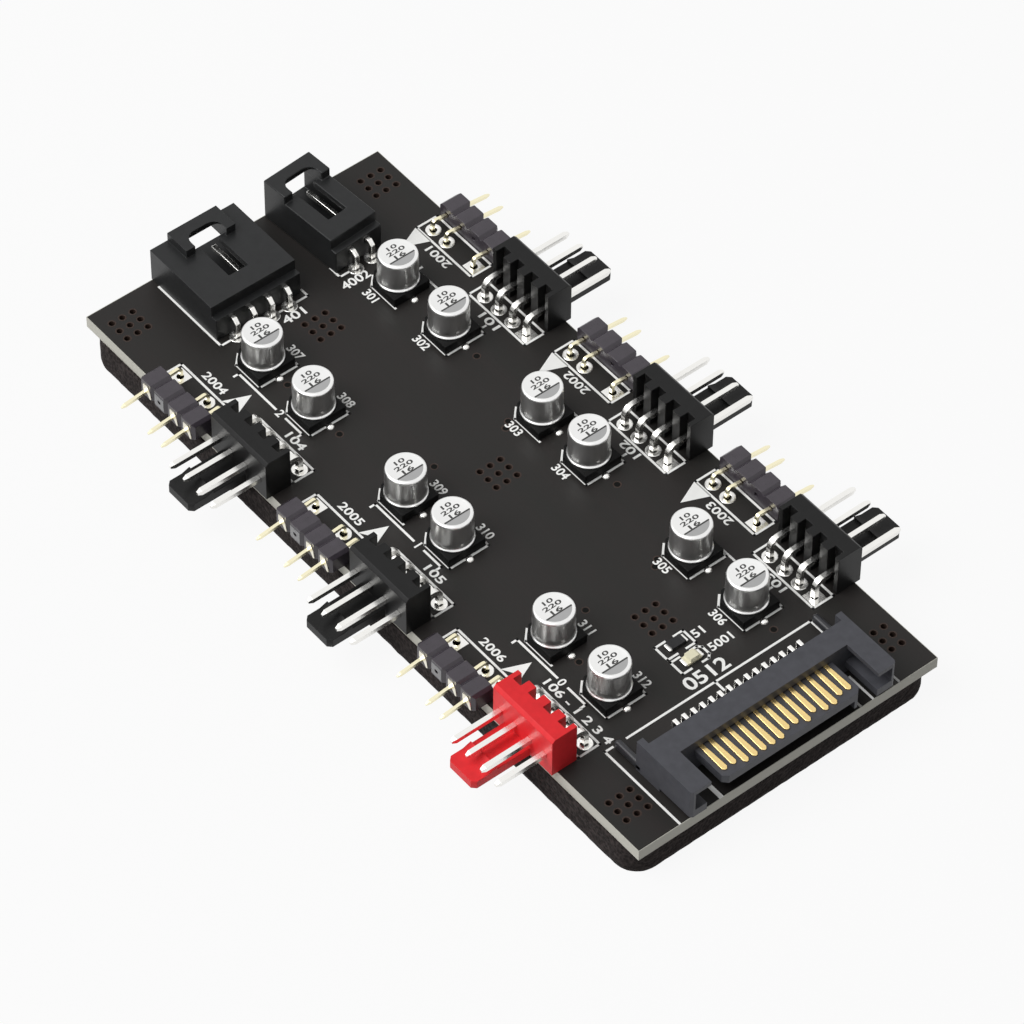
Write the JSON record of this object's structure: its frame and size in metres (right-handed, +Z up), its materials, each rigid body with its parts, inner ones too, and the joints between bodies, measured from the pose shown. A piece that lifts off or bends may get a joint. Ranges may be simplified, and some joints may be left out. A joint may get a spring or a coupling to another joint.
{
  "type": "fan and lighting hub",
  "caption": "Circuit board on a foam pad that shares power and control signals between case fans and light strips through pin headers along its edges.",
  "frame": {"origin": "middle of the foam pad's underside", "axes": "+X along the board towards the power socket, +Y across it, +Z up out of the board's top"},
  "size_m": [0.1008, 0.0604, 0.0119],
  "materials": {
    "foam": "open-cell black foam, matt",
    "solder_mask": "satin dark grey solder mask with white marking",
    "input_plastic": "semi-gloss dark grey moulding",
    "socket_plastic": "satin blue-grey moulding",
    "black_plastic": "satin black moulding",
    "red_plastic": "semi-gloss red moulding",
    "strip_plastic": "satin violet-grey moulding",
    "tin_plate": "bright tin plate",
    "gold_plate": "pale gold plate",
    "can_aluminium": "drawn aluminium with a printed top",
    "lens_resin": "pale yellow resin",
    "chip_ceramic": "dark glaze with bright ends"
  },
  "bodies": {
    "root": {"foam_base_pad": "foam", "circuit_board": "solder_mask", "fan_signal_input_housing": "input_plastic", "fan_signal_input_pins": "tin_plate", "light_signal_input_housing": "input_plastic", "light_signal_input_pins": "tin_plate", "power_socket_housing": "socket_plastic", "power_socket_contacts": "gold_plate", "capacitor_terminals": "tin_plate", "status_led": "lens_resin", "led_resistor": "chip_ceramic", "fan_port_1_housing": "black_plastic", "fan_port_1_pins": "tin_plate", "light_port_1_body": "strip_plastic", "light_port_1_pins": "gold_plate", "fan_port_2_housing": "black_plastic", "fan_port_2_pins": "tin_plate", "light_port_2_body": "strip_plastic", "light_port_2_pins": "gold_plate", "fan_port_3_housing": "black_plastic", "fan_port_3_pins": "tin_plate", "light_port_3_body": "strip_plastic", "light_port_3_pins": "gold_plate", "fan_port_4_housing": "black_plastic", "fan_port_4_pins": "tin_plate", "light_port_4_body": "strip_plastic", "light_port_4_pins": "gold_plate", "fan_port_5_housing": "black_plastic", "fan_port_5_pins": "tin_plate", "light_port_5_body": "strip_plastic", "light_port_5_pins": "gold_plate", "fan_port_6_housing": "red_plastic", "fan_port_6_pins": "tin_plate", "light_port_6_body": "strip_plastic", "light_port_6_pins": "gold_plate", "capacitor_01_can": "can_aluminium", "capacitor_01_base": "black_plastic", "capacitor_02_can": "can_aluminium", "capacitor_02_base": "black_plastic", "capacitor_03_can": "can_aluminium", "capacitor_03_base": "black_plastic", "capacitor_04_can": "can_aluminium", "capacitor_04_base": "black_plastic", "capacitor_05_can": "can_aluminium", "capacitor_05_base": "black_plastic", "capacitor_06_can": "can_aluminium", "capacitor_06_base": "black_plastic", "capacitor_07_can": "can_aluminium", "capacitor_07_base": "black_plastic", "capacitor_08_can": "can_aluminium", "capacitor_08_base": "black_plastic", "capacitor_09_can": "can_aluminium", "capacitor_09_base": "black_plastic", "capacitor_10_can": "can_aluminium", "capacitor_10_base": "black_plastic", "capacitor_11_can": "can_aluminium", "capacitor_11_base": "black_plastic", "capacitor_12_can": "can_aluminium", "capacitor_12_base": "black_plastic"}
  },
  "joints": []
}
